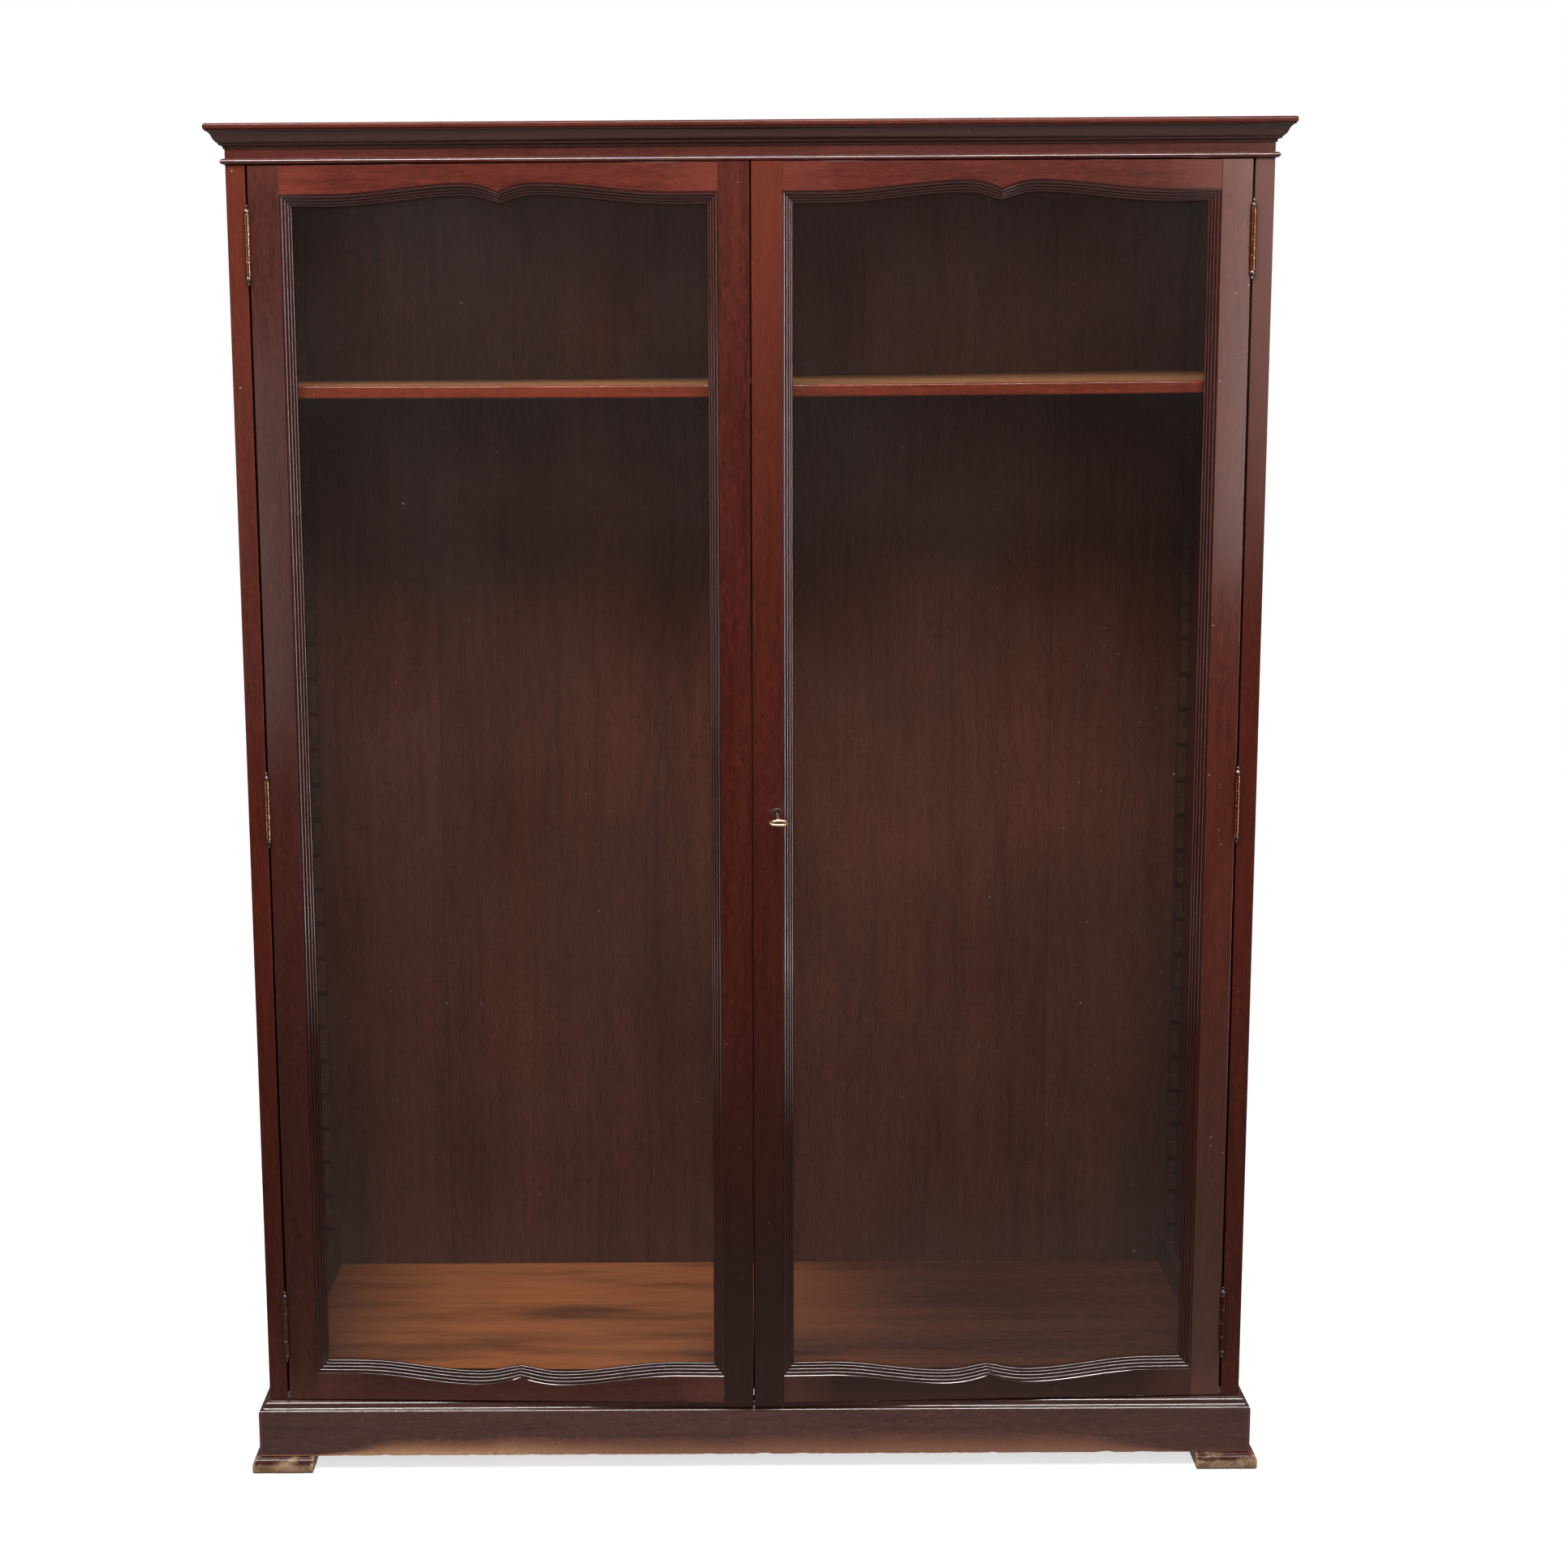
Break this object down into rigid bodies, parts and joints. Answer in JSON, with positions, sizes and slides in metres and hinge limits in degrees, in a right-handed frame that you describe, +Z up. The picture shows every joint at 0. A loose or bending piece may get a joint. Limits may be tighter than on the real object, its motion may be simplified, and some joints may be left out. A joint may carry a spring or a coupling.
{
  "type": "display cabinet",
  "caption": "Tall mahogany display cabinet: glazed double doors with reeded serpentine rails, stepped cornice, moulded plinth on pad feet, lock and key, lift-out shelf on sawtooth strips.",
  "frame": {"origin": "on the floor, under the middle of the whole object's box with the doors standing a little open as they do at rest", "axes": "+Z up, +X to the right as seen from the front, the doors face -Y"},
  "size_m": [1.552, 0.547, 2.0375],
  "materials": {
    "mahogany": "deep red-brown French polish, glossy",
    "mahogany_bright": "orange-red French polish, glossy",
    "mahogany_floor": "orange-brown polish, satin, grain along X",
    "mahogany_back": "dark stained boards, satin",
    "mahogany_strip": "thinly stained, matt",
    "worn_feet": "polish worn through to pale bare wood",
    "glass": "clear flat glass",
    "brass": "aged, satin",
    "lock_steel": "dull"
  },
  "bodies": {
    "carcass": {"side_panel_left": "mahogany", "side_panel_right": "mahogany", "bottom_board": "mahogany_floor", "inner_top_board": "mahogany_back", "back_board_left": "mahogany_back", "back_board_centre": "mahogany_back", "back_board_right": "mahogany_back", "frieze_rail": "mahogany", "cornice_front": "mahogany", "cornice_left": "mahogany", "cornice_right": "mahogany", "cornice_top_board": "mahogany", "astragal_front": "mahogany", "astragal_left": "mahogany", "astragal_right": "mahogany", "plinth_front": "mahogany", "plinth_left": "mahogany", "plinth_right": "mahogany", "plinth_back": "mahogany_back", "foot_front_left": "worn_feet", "foot_front_right": "worn_feet", "foot_rear_left": "worn_feet", "foot_rear_right": "worn_feet", "left_top_hinge_fixed_leaf": "brass", "left_middle_hinge_fixed_leaf": "brass", "left_bottom_hinge_fixed_leaf": "brass", "right_top_hinge_fixed_leaf": "brass", "right_middle_hinge_fixed_leaf": "brass", "right_bottom_hinge_fixed_leaf": "brass", "ratchet_strip_front_left": "mahogany_strip", "ratchet_strip_front_right": "mahogany_strip", "ratchet_strip_back_left": "mahogany_strip", "ratchet_strip_back_right": "mahogany_strip", "floor_batten_left": "mahogany_strip", "floor_batten_right": "mahogany_strip", "shelf_bearer_left": "mahogany_strip", "shelf_bearer_right": "mahogany_strip"},
    "left_door": {"left_door_hinge_stile": "mahogany", "left_door_meeting_stile": "mahogany", "left_door_top_rail": "mahogany_bright", "left_door_bottom_rail": "mahogany", "left_door_glass": "glass", "left_door_glazing_bead": "mahogany", "left_top_hinge_door_leaf": "brass", "left_middle_hinge_door_leaf": "brass", "left_bottom_hinge_door_leaf": "brass"},
    "right_door": {"right_door_hinge_stile": "mahogany", "right_door_meeting_stile": "mahogany", "right_door_top_rail": "mahogany_bright", "right_door_bottom_rail": "mahogany", "right_door_glass": "glass", "right_door_glazing_bead": "mahogany", "right_top_hinge_door_leaf": "brass", "right_middle_hinge_door_leaf": "brass", "right_bottom_hinge_door_leaf": "brass", "lock_case": "lock_steel", "escutcheon": "brass"},
    "key_body": {"key": "brass"},
    "bolt_body": {"lock_bolt": "brass"},
    "shelf_body": {"shelf": "mahogany_bright"}
  },
  "joints": [
    {"name": "left_door_hinge", "type": "hinge", "parent": "carcass", "child": "left_door", "pos_m": [-0.72075, -0.2007, 1.042], "axis": [0, 0, -1], "range_deg": [-1.75, 170]},
    {"name": "right_door_hinge", "type": "hinge", "parent": "carcass", "child": "right_door", "pos_m": [0.72075, -0.2007, 1.042], "axis": [0, 0, 1], "range_deg": [-1.75, 170]},
    {"name": "key_turn", "type": "hinge", "parent": "right_door", "child": "key_body", "pos_m": [0.03651, -0.2114, 1.037], "axis": [-0.0303, 0.9921, 0.1219], "range_deg": [0, 180]},
    {"name": "bolt_slide", "type": "slide", "parent": "right_door", "child": "bolt_body", "axis": [-0.9995, -0.0305, 0], "range_m": [0, 0.009]},
    {"name": "shelf_lift", "type": "slide", "parent": "carcass", "child": "shelf_body", "axis": [0, 0, 1], "range_m": [0, 0.12]}
  ],
  "couplings": [
    {"joint": "bolt_slide", "follows": "key_turn", "m_per_rad": 0.0028645}
  ]
}
